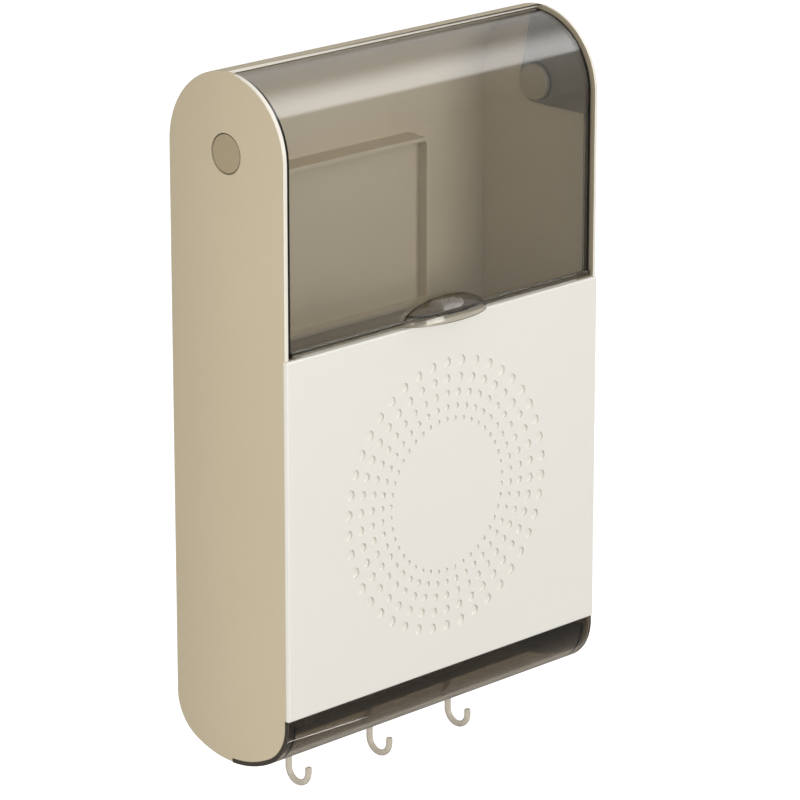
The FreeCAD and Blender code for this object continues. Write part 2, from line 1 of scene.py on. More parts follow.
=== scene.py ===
"""Dresses the wall-mounted chopstick holder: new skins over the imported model, finishes, light and camera."""
import bmesh
import bpy
import math
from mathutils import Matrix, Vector


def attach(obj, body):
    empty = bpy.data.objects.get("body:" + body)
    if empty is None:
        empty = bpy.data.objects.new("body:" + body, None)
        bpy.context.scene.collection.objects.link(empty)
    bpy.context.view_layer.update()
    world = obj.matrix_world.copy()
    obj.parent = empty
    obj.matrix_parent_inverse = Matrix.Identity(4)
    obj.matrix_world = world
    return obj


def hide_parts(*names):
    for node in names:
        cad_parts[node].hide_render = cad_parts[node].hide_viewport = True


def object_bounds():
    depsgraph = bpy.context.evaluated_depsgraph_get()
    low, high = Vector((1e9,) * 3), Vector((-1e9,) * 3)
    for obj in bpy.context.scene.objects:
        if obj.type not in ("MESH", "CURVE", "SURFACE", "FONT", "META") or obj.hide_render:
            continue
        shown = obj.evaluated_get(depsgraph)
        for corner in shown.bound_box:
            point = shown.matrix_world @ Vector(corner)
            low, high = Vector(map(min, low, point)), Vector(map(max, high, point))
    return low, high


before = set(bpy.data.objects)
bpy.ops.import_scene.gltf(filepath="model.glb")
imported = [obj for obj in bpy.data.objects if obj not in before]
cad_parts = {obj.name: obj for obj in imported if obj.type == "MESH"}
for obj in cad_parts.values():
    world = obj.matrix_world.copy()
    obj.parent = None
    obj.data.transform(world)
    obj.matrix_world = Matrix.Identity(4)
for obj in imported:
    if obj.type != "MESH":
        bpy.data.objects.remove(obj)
cad_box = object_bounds()

# Sizes below are in millimetres, and the pieces are drawn in metres.
MM = 0.001

# Outline of the holder from the side
FRONT = -96.0
BACK = -1.0
MIDDLE = -48.5
HALF_DEPTH = 47.5
PIVOT_Z = 80.5
SPRING_Z = -254.5
BOTTOM = -288.0
TOP = 128.0
CORNER_RUN = 18.5
ARCH_RISE = 35.78
ARCH_TURN = math.degrees(math.atan2(ARCH_RISE, CORNER_RUN))

# Widths, counted from the middle
HALF_WIDTH = 130.0
INNER_HALF = 127.6
LID_HALF = 127.1
TUB_HALF = 124.1

# Walls
SHELL_WALL = 1.8
PANEL_BACK = -94.5
PANEL_FRONT = -97.5
PANEL_LOW = -250.2
PANEL_HIGH = -32.7
LID_OUTER = 45.4
LID_INNER = 43.2
LID_LOW = -31.7
TRAY_HIGH = -250.7
TRAY_SHEET = 2.6
TRAY_GAP = 0.3

# Steps in a quarter turn of the large and of the small rounds
LARGE_STEPS = 28
SMALL_STEPS = 12

# How far a cutting tool reaches past the face that it opens
PAST = 3.0

# Two places nearer than this count as one
NEAR = 0.01

# Place, in metres, from which the points of a cut mesh are counted
ORDER_FROM = (0.7313, -1.1171, 0.3897)


def metres(place):
    return tuple(MM * number for number in place)


def select_nothing():
    bpy.ops.object.select_all(action="DESELECT")


def select_only(piece):
    select_nothing()
    piece.select_set(True)
    bpy.context.view_layer.objects.active = piece


def edit(piece):
    select_only(piece)
    bpy.ops.object.mode_set(mode="EDIT")


def leave_edit():
    bpy.ops.object.mode_set(mode="OBJECT")


class SideOutline:
    """Outline seen from the side, drawn point by point in edit mode, then filled and drawn out along X."""

    def __init__(self, name, x, y, z):
        select_nothing()
        bpy.ops.mesh.primitive_plane_add(size=MM, location=(0, 0, 0))
        self.piece = bpy.context.object
        self.piece.name = name
        bpy.ops.object.mode_set(mode="EDIT")
        bpy.ops.mesh.select_mode(type="VERT")
        bpy.ops.mesh.select_all(action="SELECT")
        bpy.ops.mesh.merge(type="CENTER")
        bpy.ops.transform.translate(value=metres((x, y, z)))
        self.x = x
        self.y = y
        self.z = z

    def line_to(self, y, z):
        step = metres((0, y - self.y, z - self.z))
        bpy.ops.mesh.extrude_region_move(TRANSFORM_OT_translate={"value": step})
        self.y = y
        self.z = z
        return self

    def arc_round(self, y, z, degrees, steps=SMALL_STEPS):
        """Arc about a centre; a positive turn goes from the back up and over to the front."""
        bpy.ops.mesh.spin(
            steps=steps, angle=-math.radians(degrees), center=metres((self.x, y, z)), axis=(1, 0, 0)
        )
        angle = math.radians(degrees)
        run = self.y - y
        rise = self.z - z
        self.y = y + run * math.cos(angle) - rise * math.sin(angle)
        self.z = z + run * math.sin(angle) + rise * math.cos(angle)
        return self

    def solid(self, x_end):
        bpy.ops.mesh.select_all(action="SELECT")
        bpy.ops.mesh.remove_doubles(threshold=0.00001)
        bpy.ops.mesh.edge_face_add()
        step = metres((x_end - self.x, 0, 0))
        bpy.ops.mesh.extrude_region_move(TRANSFORM_OT_translate={"value": step})
        bpy.ops.mesh.select_all(action="SELECT")
        bpy.ops.mesh.normals_make_consistent(inside=False)
        leave_edit()
        return self.piece


def side_solid(name, inset, x_start, x_end):
    """Whole side outline of the holder, drawn in by inset, as a solid."""
    half = HALF_DEPTH - inset
    outline = SideOutline(name, x_start, MIDDLE + half, PIVOT_Z)
    outline.arc_round(MIDDLE, PIVOT_Z, 180, 2 * LARGE_STEPS)
    outline.line_to(MIDDLE - half, SPRING_Z)
    outline.arc_round(MIDDLE - CORNER_RUN, SPRING_Z, ARCH_TURN, LARGE_STEPS)
    outline.arc_round(MIDDLE, SPRING_Z + ARCH_RISE, 180 - 2 * ARCH_TURN, LARGE_STEPS)
    outline.arc_round(MIDDLE + CORNER_RUN, SPRING_Z, ARCH_TURN, LARGE_STEPS)
    outline.line_to(MIDDLE + half, PIVOT_Z)
    return outline.solid(x_end)


def block(name, low, high):
    """Box between two corners, its place kept in its mesh."""
    select_nothing()
    bpy.ops.mesh.primitive_cube_add(size=1, location=(0, 0, 0))
    piece = bpy.context.object
    piece.name = name
    bpy.ops.object.mode_set(mode="EDIT")
    bpy.ops.transform.resize(value=metres([b - a for a, b in zip(low, high)]))
    bpy.ops.transform.translate(value=metres([(a + b) / 2 for a, b in zip(low, high)]))
    leave_edit()
    return piece


def round_bar(name, start, axis, radius, length, sides=48):
    """Round bar from a point along X, Y or Z, its place kept in its mesh."""
    select_nothing()
    turn = {"X": (0, math.pi / 2, 0), "Y": (-math.pi / 2, 0, 0), "Z": (0, 0, 0)}[axis]
    middle = Vector(start)
    middle["XYZ".index(axis)] += length / 2
    bpy.ops.mesh.primitive_cylinder_add(
        vertices=sides, radius=radius * MM, depth=abs(length) * MM, location=metres(middle), rotation=turn
    )
    piece = bpy.context.object
    piece.name = name
    bpy.ops.object.transform_apply(location=True, rotation=True, scale=True)
    return piece


def pick_edges(piece, test):
    """In edit mode, selects the edges whose two ends, in millimetres, pass a test."""
    edit(piece)
    bpy.ops.mesh.select_mode(type="EDGE")
    bpy.ops.mesh.select_all(action="DESELECT")
    form = bmesh.from_edit_mesh(piece.data)
    for edge in form.edges:
        start, end = (corner.co / MM for corner in edge.verts)
        if test(start, end):
            edge.select_set(True)
    bmesh.update_edit_mesh(piece.data)


def round_edges(piece, test, width, segments):
    pick_edges(piece, test)
    bpy.ops.mesh.bevel(offset=width * MM, segments=segments, affect="EDGES", clamp_overlap=True)
    leave_edit()


def combine(piece, tool, operation):
    """Joins a tool to a piece, cuts it away or keeps what both share, and uses the tool up."""
    select_only(piece)
    bpy.ops.object.modifier_add(type="BOOLEAN")
    step = piece.modifiers[-1]
    step.operation = operation
    step.solver = "EXACT"
    step.object = tool
    bpy.ops.object.modifier_apply(modifier=step.name)
    bpy.data.objects.remove(tool)
    put_in_order(piece)
    return piece


def put_in_order(piece):
    """Sorts points, edges and faces by their distance from one place, so that each run counts them alike."""
    cursor = bpy.context.scene.cursor
    cursor.location = ORDER_FROM
    edit(piece)
    bpy.ops.mesh.select_all(action="SELECT")
    bpy.ops.mesh.sort_elements(type="CURSOR_DISTANCE", elements={"VERT", "EDGE", "FACE"})
    leave_edit()
    cursor.location = (0.0, 0.0, 0.0)


def cut(piece, tool):
    return combine(piece, tool, "DIFFERENCE")


def unite(piece, tool):
    return combine(piece, tool, "UNION")


def tidy(piece):
    """Merges what the cuts left double and takes out points on straight runs."""
    edit(piece)
    bpy.ops.mesh.select_all(action="SELECT")
    bpy.ops.mesh.remove_doubles(threshold=0.000002)
    bpy.ops.mesh.dissolve_limited(angle_limit=math.radians(0.2))
    leave_edit()


def soften(piece, width, smooth_angle=32.0, segments=2):
    """Breaks the sharp edges by a small round and shades the curves smooth."""
    select_only(piece)
    if width > 0:
        bpy.ops.object.modifier_add(type="BEVEL")
        step = piece.modifiers[-1]
        step.width = width * MM
        step.segments = segments
        step.limit_method = "ANGLE"
        step.angle_limit = math.radians(38)
        step.use_clamp_overlap = True
        bpy.ops.object.modifier_apply(modifier=step.name)
    bpy.ops.object.shade_smooth_by_angle(angle=math.radians(smooth_angle))
    bpy.ops.object.modifier_add(type="WEIGHTED_NORMAL")
    step = piece.modifiers[-1]
    step.keep_sharp = True
    bpy.ops.object.modifier_apply(modifier=step.name)


def dress(piece, body, node, material):
    """Puts a finished piece in its CAD node's place."""
    piece.data.materials.clear()
    piece.data.materials.append(material)
    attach(piece, body)
    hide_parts(node)


def paint_faces(piece, material, test):
    """Gives a second material to the faces whose middle, in millimetres, and normal pass a test; here each is a
    painted highlight or painted shade.
    """
    piece.data.materials.append(material)
    edit(piece)
    piece.active_material_index = len(piece.data.materials) - 1
    bpy.ops.mesh.select_mode(type="FACE")
    bpy.ops.mesh.select_all(action="DESELECT")
    form = bmesh.from_edit_mesh(piece.data)
    for face in form.faces:
        if test(face.calc_center_median() / MM, face.normal):
            face.select_set(True)
    bmesh.update_edit_mesh(piece.data)
    bpy.ops.object.material_slot_assign()
    leave_edit()


# Finishes

def new_material(name):
    material = bpy.data.materials.new(name)
    material.use_nodes = True
    return material, material.node_tree, material.node_tree.nodes["Principled BSDF"]


def group_socket(group, name, kind, way, value=None):
    socket = group.interface.new_socket(name=name, in_out=way, socket_type=kind)
    if value is not None:
        socket.default_value = value


def moulded_skin_group():
    """Colour drift, roughness drift and fine grain of a satin moulding."""
    group = bpy.data.node_groups.new("moulded_skin", "ShaderNodeTree")
    group_socket(group, "Colour", "NodeSocketColor", "INPUT", (0.8, 0.8, 0.8, 1))
    group_socket(group, "Drift Colour", "NodeSocketColor", "INPUT", (0.7, 0.7, 0.7, 1))
    group_socket(group, "Smoothest", "NodeSocketFloat", "INPUT", 0.3)
    group_socket(group, "Roughest", "NodeSocketFloat", "INPUT", 0.4)
    group_socket(group, "Grain Scale", "NodeSocketFloat", "INPUT", 1500.0)
    group_socket(group, "Colour", "NodeSocketColor", "OUTPUT")
    group_socket(group, "Roughness", "NodeSocketFloat", "OUTPUT")
    group_socket(group, "Height", "NodeSocketFloat", "OUTPUT")
    nodes = group.nodes
    links = group.links
    inlet = nodes.new("NodeGroupInput")
    outlet = nodes.new("NodeGroupOutput")
    place = nodes.new("ShaderNodeTexCoord")
    drift = nodes.new("ShaderNodeTexNoise")
    drift.inputs["Scale"].default_value = 9.0
    drift.inputs["Detail"].default_value = 3.0
    blend = nodes.new("ShaderNodeMix")
    blend.data_type = "RGBA"
    smudge = nodes.new("ShaderNodeTexNoise")
    smudge.inputs["Scale"].default_value = 55.0
    smudge.inputs["Detail"].default_value = 4.0
    spread = nodes.new("ShaderNodeMapRange")
    spread.inputs["From Min"].default_value = 0.3
    spread.inputs["From Max"].default_value = 0.7
    grain = nodes.new("ShaderNodeTexNoise")
    grain.inputs["Detail"].default_value = 2.0
    links.new(place.outputs["Object"], drift.inputs["Vector"])
    links.new(place.outputs["Object"], smudge.inputs["Vector"])
    links.new(place.outputs["Object"], grain.inputs["Vector"])
    links.new(inlet.outputs["Grain Scale"], grain.inputs["Scale"])
    links.new(drift.outputs["Fac"], blend.inputs["Factor"])
    links.new(inlet.outputs["Colour"], blend.inputs["A"])
    links.new(inlet.outputs["Drift Colour"], blend.inputs["B"])
    links.new(smudge.outputs["Fac"], spread.inputs["Value"])
    links.new(inlet.outputs["Smoothest"], spread.inputs["To Min"])
    links.new(inlet.outputs["Roughest"], spread.inputs["To Max"])
    links.new(blend.outputs["Result"], outlet.inputs["Colour"])
    links.new(spread.outputs["Result"], outlet.inputs["Roughness"])
    links.new(grain.outputs["Fac"], outlet.inputs["Height"])
    return group


def larger_of(tree, first, second):
    """Output of a node that takes the larger of two values."""
    larger = tree.nodes.new("ShaderNodeMath")
    larger.operation = "MAXIMUM"
    tree.links.new(first, larger.inputs[0])
    tree.links.new(second, larger.inputs[1])
    return larger.outputs["Value"]


def from_screen(red, green, blue):
    """Linear colour of a screen colour from 0 to 255."""
    return tuple((part / 255) ** 2.2 for part in (red, green, blue)) + (1.0,)


def add_skin(tree, shader, group, colour, drift, smoothest, roughest, grain_scale, grain_depth):
    """Places the skin group before a shader."""
    skin = tree.nodes.new("ShaderNodeGroup")
    skin.node_tree = group
    skin.inputs["Colour"].default_value = colour
    skin.inputs["Drift Colour"].default_value = drift
    skin.inputs["Smoothest"].default_value = smoothest
    skin.inputs["Roughest"].default_value = roughest
    skin.inputs["Grain Scale"].default_value = grain_scale
    bump = tree.nodes.new("ShaderNodeBump")
    bump.inputs["Strength"].default_value = 0.25
    bump.inputs["Distance"].default_value = grain_depth * MM
    tree.links.new(skin.outputs["Colour"], shader.inputs["Base Color"])
    tree.links.new(skin.outputs["Roughness"], shader.inputs["Roughness"])
    tree.links.new(skin.outputs["Height"], bump.inputs["Height"])
    tree.links.new(bump.outputs["Normal"], shader.inputs["Normal"])


def moulding(name, group, colour, drift, smoothest, roughest, grain_scale=1600.0, grain_depth=0.02):
    """Opaque moulding with a satin to dull skin."""
    material, tree, shader = new_material(name)
    shader.inputs["IOR"].default_value = 1.5
    add_skin(tree, shader, group, colour, drift, smoothest, roughest, grain_scale, grain_depth)
    return material


def clear_plastic(
    name, group, tint, density, lets_light_by, clearness=1.0, smoothest=0.02, roughest=0.05, ior=1.49
):
    """Clear moulding that darkens with its thickness; light falls through it on what lies behind."""
    material, tree, shader = new_material(name)
    shader.inputs["IOR"].default_value = ior
    shader.inputs["Transmission Weight"].default_value = clearness
    deeper = tuple(0.985 * part for part in tint[:3]) + (1.0,)
    add_skin(tree, shader, group, tint, deeper, smoothest, roughest, 400.0, 0.004)
    through = tree.nodes.new("ShaderNodeBsdfTransparent")
    through.inputs["Color"].default_value = (lets_light_by, lets_light_by, lets_light_by, 1.0)
    path = tree.nodes.new("ShaderNodeLightPath")
    passes = larger_of(tree, path.outputs["Is Shadow Ray"], path.outputs["Is Diffuse Ray"])
    choose = tree.nodes.new("ShaderNodeMixShader")
    depth = tree.nodes.new("ShaderNodeVolumeAbsorption")
    depth.inputs["Color"].default_value = (0.2, 0.2, 0.18, 1.0)
    depth.inputs["Density"].default_value = density
    outlet = tree.nodes["Material Output"]
    tree.links.new(passes, choose.inputs["Fac"])
    tree.links.new(shader.outputs["BSDF"], choose.inputs[1])
    tree.links.new(through.outputs["BSDF"], choose.inputs[2])
    tree.links.new(choose.outputs["Shader"], outlet.inputs["Surface"])
    tree.links.new(depth.outputs["Volume"], outlet.inputs["Volume"])
    return material


# How strongly the clear mouldings darken with their thickness
LID_DENSITY = 120.0
TRAY_DENSITY = 75.0
PIVOT_DENSITY = 40.0
HOOK_DENSITY = 30.0

skin_group = moulded_skin_group()
beige = moulding(
    "beige_moulding", skin_group, from_screen(210, 196, 167), from_screen(205, 190, 160), 0.38, 0.46
)
off_white = moulding(
    "off_white_moulding", skin_group, from_screen(240, 237, 229), from_screen(237, 234, 225), 0.34, 0.42
)
inner_grey = moulding(
    "basket_moulding", skin_group, from_screen(222, 216, 203), from_screen(216, 209, 195), 0.4, 0.5
)
plate_beige = moulding(
    "wall_plate_moulding", skin_group, from_screen(200, 190, 168), from_screen(192, 181, 158), 0.45, 0.55
)
soft_rubber = moulding(
    "stop_rubber", skin_group, from_screen(196, 192, 182), from_screen(188, 184, 174), 0.55, 0.7,
    grain_scale=900.0, grain_depth=0.05,
)
foam = moulding(
    "pad_foam", skin_group, from_screen(226, 226, 222), from_screen(212, 212, 207), 0.8, 0.95,
    grain_scale=520.0, grain_depth=0.35,
)
steel = moulding(
    "retainer_steel", skin_group, from_screen(176, 177, 178), from_screen(160, 161, 163), 0.28, 0.4,
    grain_scale=700.0,
)
steel.node_tree.nodes["Principled BSDF"].inputs["Metallic"].default_value = 1.0
smoke = clear_plastic("smoky_clear", skin_group, (0.95, 0.96, 0.985, 1.0), LID_DENSITY, 1.0)
# Darker tint for the ears: painted shade for light passing twice through ear and sheet.
ear_painted_shade = clear_plastic("ear_painted_shade_tint", skin_group, (0.82, 0.84, 0.88, 1.0), LID_DENSITY, 0.8)
# Near-black tint for the lid's side edge strips: painted shade.
lid_edge_painted_shade = clear_plastic("lid_edge_painted_shade_tint", skin_group, (0.06, 0.055, 0.05, 1.0), LID_DENSITY, 0.9)
# Darker tint for the handle cup: painted shade for its dark inside.
handle_painted_shade = clear_plastic("handle_painted_shade_tint", skin_group, (0.5, 0.46, 0.4, 1.0), LID_DENSITY, 0.9)
# Paler tint for the handle's lower part: painted light.
handle_rim_painted_light = clear_plastic("handle_rim_painted_light_tint", skin_group, (0.8, 0.75, 0.66, 1.0), LID_DENSITY, 0.95)
tray_smoke = clear_plastic("smoky_tray", skin_group, (0.36, 0.306, 0.237, 1.0), TRAY_DENSITY, 0.7, ior=1.36)
# Darker tint for the tub's end walls: painted shade.
tub_end_painted_shade = clear_plastic("tub_end_painted_shade_tint", skin_group, (0.3, 0.26, 0.21, 1.0), TRAY_DENSITY, 0.7)
# Dark, less clear finish for the tray sheet's ends: painted shade.
tray_end_painted_shade = clear_plastic(
    "tray_end_painted_shade_tint", skin_group, from_screen(92, 85, 74), TRAY_DENSITY, 0.86,
    clearness=0.45, smoothest=0.1, roughest=0.16,
)
# Paler beige for the front-facing edges: a painted highlight.
rim_painted_highlight = moulding(
    "rim_painted_highlight_moulding", skin_group, from_screen(240, 234, 221), from_screen(236, 230, 216), 0.3, 0.38
)
# Dark tint for the pivot disc's rim: painted shade for the groove round it.
pivot_rim_painted_shade = clear_plastic(
    "pivot_rim_painted_shade_tint", skin_group, (0.2, 0.17, 0.12, 1.0), PIVOT_DENSITY, 0.8, clearness=0.5
)
pivot_smoke = clear_plastic(
    "smoky_pivot", skin_group, from_screen(192, 176, 145), PIVOT_DENSITY, 0.8,
    clearness=0.25, smoothest=0.1, roughest=0.16,
)
hook_smoke = clear_plastic(
    "hook_clear", skin_group, from_screen(224, 214, 197), HOOK_DENSITY, 0.9,
    clearness=0.45, smoothest=0.08, roughest=0.14,
)


# Housing

HOUSING_EDGE_ROUND = 1.0


def cavity():
    """Room inside the housing, open to the whole front."""
    half = HALF_DEPTH - SHELL_WALL
    outline = SideOutline("cavity", -INNER_HALF, MIDDLE + half, PIVOT_Z)
    outline.arc_round(MIDDLE, PIVOT_Z, 90, LARGE_STEPS)
    outline.line_to(MIDDLE, TOP + PAST)
    outline.line_to(FRONT - PAST, TOP + PAST)
    outline.line_to(FRONT - PAST, BOTTOM - PAST)
    outline.line_to(MIDDLE, BOTTOM - PAST)
    outline.line_to(MIDDLE, BOTTOM + SHELL_WALL)
    outline.arc_round(MIDDLE, SPRING_Z + ARCH_RISE, 90 - ARCH_TURN, LARGE_STEPS)
    outline.arc_round(MIDDLE + CORNER_RUN, SPRING_Z, ARCH_TURN, LARGE_STEPS)
    outline.line_to(MIDDLE + half, PIVOT_Z)
    return outline.solid(INNER_HALF)


def make_housing():
    shell = side_solid("housing_shell", 0, -HALF_WIDTH, HALF_WIDTH)
    round_edges(
        shell,
        lambda a, b: abs(abs(a.x) - HALF_WIDTH) < NEAR and abs(a.x - b.x) < NEAR,
        HOUSING_EDGE_ROUND, 4,
    )
    cut(shell, cavity())
    rebate = block(
        "tray_rebate",
        (-HALF_WIDTH - PAST, FRONT - PAST, BOTTOM - PAST),
        (HALF_WIDTH + PAST, MIDDLE + TRAY_GAP, PANEL_LOW),
    )
    span = HALF_WIDTH + 2 * PAST
    cut(rebate, side_solid("behind_tray", TRAY_SHEET + TRAY_GAP, -span, span))
    cut(shell, rebate)
    cut(
        shell,
        block(
            "panel_rebate",
            (-HALF_WIDTH - PAST, FRONT - PAST, PANEL_LOW - 1.0),
            (HALF_WIDTH + PAST, PANEL_BACK, PANEL_HIGH + 0.2),
        ),
    )
    return shell


BAY_HALF_X = 66.0
BAY_HALF_Z = 52.0
BAY_RIM = 2.5
BAY_CORNER = 5.0
BAY_HOLLOW_CORNER = 2.5
BAY_FRONT = -17.4
BAY_FLOOR = -10.4
RECESS = -8.4
CATCH_HALF_X = 64.75
CATCH_LOW = 19.2
CATCH_HIGH = 27.2
CATCH_WEB_PLACES = (-44.0, 0.0, 44.0)


def rounded_slab(name, half_x, half_z, y_low, y_high, corner):
    """Plate square to Y with rounded corners."""
    slab = block(name, (-half_x, y_low, -half_z), (half_x, y_high, half_z))
    round_edges(slab, lambda a, b: abs(a.y - b.y) > 0.5, corner, 6)
    return slab


def add_bay(shell):
    """Raised frame inside the back wall, and the recess behind it for the wall plate."""
    unite(shell, rounded_slab("bay", BAY_HALF_X, BAY_HALF_Z, BAY_FRONT, BACK - SHELL_WALL / 2, BAY_CORNER))
    inner_x = BAY_HALF_X - BAY_RIM
    inner_z = BAY_HALF_Z - BAY_RIM
    cut(shell, rounded_slab("bay_hollow", inner_x, inner_z, BAY_FRONT - PAST, BAY_FLOOR, BAY_HOLLOW_CORNER))
    cut(shell, rounded_slab("plate_recess", inner_x, inner_z, RECESS, BACK + PAST, BAY_HOLLOW_CORNER))
    unite(shell, block("catch_bar", (-CATCH_HALF_X, -5.6, CATCH_LOW), (CATCH_HALF_X, -3.6, CATCH_HIGH)))
    for x in CATCH_WEB_PLACES:
        unite(shell, block("catch_web", (x - 1.5, -9.4, CATCH_LOW + 0.05), (x + 1.5, -4.6, CATCH_HIGH - 0.05)))


PIVOT_HOLE = 12.08
HOOK_Y = -32.2
HOOK_PLACES = {"left": -68.7, "middle": 0.0, "right": 68.7}
WALL_STOP_PLACES = {"left": -95.0, "right": 95.0}
WALL_STOP_Z = -213.0
STOP_HOLE = 1.55
SNAP_PLACES = {"low": -205.6, "middle": -141.45, "high": -77.3}
SNAP_HALF = 6.5


def add_inside(shell):
    """Rails, ledges and snaps on the side walls, and bosses for the hooks."""
    for side in (-1, 1):
        wall = side * (INNER_HALF + 1.2)
        fittings = [("rail", 3.0, -76.0, -12.0, -268.0, -265.5), ("ledge", 8.0, -85.0, -19.2, -243.7, -240.7)]
        for name, z in SNAP_PLACES.items():
            fittings.append(("snap_" + name, 1.8, -92.0, -89.0, z - SNAP_HALF, z + SNAP_HALF))
        for name, stands_out, y_low, y_high, z_low, z_high in fittings:
            low_x, high_x = sorted((wall, side * (INNER_HALF - stands_out)))
            unite(shell, block(name, (low_x, y_low, z_low), (high_x, y_high, z_high)))
    for x in HOOK_PLACES.values():
        unite(shell, round_bar("hook_boss", (x, HOOK_Y, -287.6), "Z", 5.5, 5.6, 40))
        cut(shell, round_bar("hook_hole", (x, HOOK_Y, BOTTOM - PAST), "Z", 2.1, 12.0, 32))
    for x in WALL_STOP_PLACES.values():
        cut(shell, round_bar("stop_hole", (x, BACK - SHELL_WALL - PAST, WALL_STOP_Z), "Y", STOP_HOLE, 8.0, 24))
    span = HALF_WIDTH + PAST
    cut(shell, round_bar("pivot_holes", (-span, MIDDLE, PIVOT_Z), "X", PIVOT_HOLE, 2 * span, 72))


def on_pivot_hole(corner):
    reach = math.hypot(corner.y - MIDDLE, corner.z - PIVOT_Z)
    return abs(abs(corner.x) - HALF_WIDTH) < NEAR and abs(reach - PIVOT_HOLE) < 5 * NEAR


def is_front_rim(middle, normal):
    """Narrow edges that face the front: of the side walls beside the lid, and of the strip above it; painted
    paler as a highlight.
    """
    beside = abs(middle.x) > INNER_HALF - 0.1 and abs(normal.x) < 0.9
    beside = beside and middle.y < MIDDLE - 2.0 and middle.z > PANEL_HIGH
    above = abs(middle.y - MIDDLE) < 0.6 and middle.z > PIVOT_Z + LID_INNER
    return normal.y < -0.15 and (beside or above)


housing = make_housing()
add_bay(housing)
add_inside(housing)
tidy(housing)
round_edges(housing, lambda a, b: on_pivot_hole(a) and on_pivot_hole(b), 0.7, 3)
soften(housing, 0.35)
dress(housing, "holder", "housing", beige)
# Front-facing edges painted paler: painted highlight.
paint_faces(housing, rim_painted_highlight, is_front_rim)


# Front panel

DIMPLE_MIDDLE_Z = (PANEL_LOW + PANEL_HIGH) / 2
DIMPLE_DEPTH = 1.3
DIMPLE_RINGS = 5
DIMPLES_PER_RING = 42
DIMPLE_FIRST_RING = 47.0
DIMPLE_RING_GAP = 7.4
DIMPLE_RING_GAP_GROWTH = 0.87
DIMPLE_FIRST_RADIUS = 1.5
DIMPLE_RADIUS_GROWTH = 0.425
PANEL_EDGE_ROUND = 1.2
SHELF_HALF = 115.6
TONGUE_INNER = 125.3
TONGUE_OUTER = 127.3
RETURN_DEPTH = 8.0
WINDOW_HALF = 7.0
LID_STOP_PLACES = (-105.0, 105.0)


def dimple_tool(x, z, radius):
    """Cutter for one dimple, with a rounded bottom edge."""
    tool = round_bar("dimple", (x, PANEL_FRONT - PAST, z), "Y", radius, PAST + DIMPLE_DEPTH, 24)
    round_edges(tool, lambda a, b: min(a.y, b.y) > PANEL_FRONT, 0.3, 2)
    return tool


def dimple_tools():
    """One spoke of dimples, turned round the middle of the panel."""
    ring = DIMPLE_FIRST_RING
    spoke = []
    for index in range(DIMPLE_RINGS):
        radius = DIMPLE_FIRST_RADIUS + index * DIMPLE_RADIUS_GROWTH
        spoke.append(dimple_tool(0, DIMPLE_MIDDLE_Z + ring, radius))
        ring += DIMPLE_RING_GAP + index * DIMPLE_RING_GAP_GROWTH
    select_only(spoke[0])
    for tool in spoke:
        tool.select_set(True)
    bpy.ops.object.join()
    bpy.ops.object.mode_set(mode="EDIT")
    bpy.ops.mesh.select_all(action="SELECT")
    copies = DIMPLES_PER_RING - 1
    bpy.ops.mesh.spin(
        steps=copies, dupli=True, angle=2 * math.pi * copies / DIMPLES_PER_RING,
        center=metres((0, PANEL_FRONT, DIMPLE_MIDDLE_Z)), axis=(0, 1, 0),
    )
    leave_edit()
    return spoke[0]


def make_panel():
    panel = block("panel", (-HALF_WIDTH, PANEL_FRONT, PANEL_LOW), (HALF_WIDTH, PANEL_BACK, PANEL_HIGH))
    round_edges(panel, lambda a, b: max(a.y, b.y) < PANEL_FRONT + 0.1, PANEL_EDGE_ROUND, 5)
    root = PANEL_BACK - 1.5
    rear = PANEL_BACK + RETURN_DEPTH
    unite(panel, block("shelf", (-SHELF_HALF, root, PANEL_HIGH - 2.0), (SHELF_HALF, rear, PANEL_HIGH)))
    for side in (-1, 1):
        low_x, high_x = sorted((side * TONGUE_INNER, side * TONGUE_OUTER))
        tongue = block("tongue", (low_x, root, PANEL_LOW + 12.0), (high_x, rear, PANEL_HIGH - 12.0))
        for z in SNAP_PLACES.values():
            window = block(
                "window", (low_x - PAST, -92.5, z - WINDOW_HALF), (high_x + PAST, -88.5, z + WINDOW_HALF)
            )
            cut(tongue, window)
        unite(panel, tongue)
    cut(panel, dimple_tools())
    for x in LID_STOP_PLACES:
        cut(panel, round_bar("stop_hole", (x, -90.5, -38.0), "Z", STOP_HOLE, 8.0, 24))
    return panel


panel = make_panel()
soften(panel, 0)
dress(panel, "holder", "front_panel", off_white)


# Lid

EAR_BOSS = 13.0
EAR_THICKNESS = 2.0
LID_TUCK = 5.0
FLANGE_RUN = 5.9
LIP_RUN = 5.0
LIP_HEIGHT = 2.0
LID_END_ROUND = 0.4
LID_BORE = 8.05
LID_EDGE_ROUND = 1.7
EDGE_STRIP = 3.2
BEAD = 1.8
BEAD_HEIGHT = 3.6
HANDLE_HALF = 34.0
HANDLE_HEIGHT = 12.5
HANDLE_REACH = 13.99
HANDLE_WALL = 1.8
HANDLE_RIM = 5.0


def on_lid_outside(corner):
    if corner.z > PIVOT_Z:
        return math.hypot(corner.y - MIDDLE, corner.z - PIVOT_Z) > LID_OUTER - 0.3
    return corner.y < MIDDLE - LID_OUTER + 0.1


def is_lid_end(a, b):
    """Edges across the lid at its lip and at its rear end."""
    across = abs(a.x - b.x) > LID_HALF
    return across and (max(a.z, b.z) < LID_LOW + LIP_HEIGHT + 0.1 or min(a.y, b.y) > MIDDLE + 2.5)


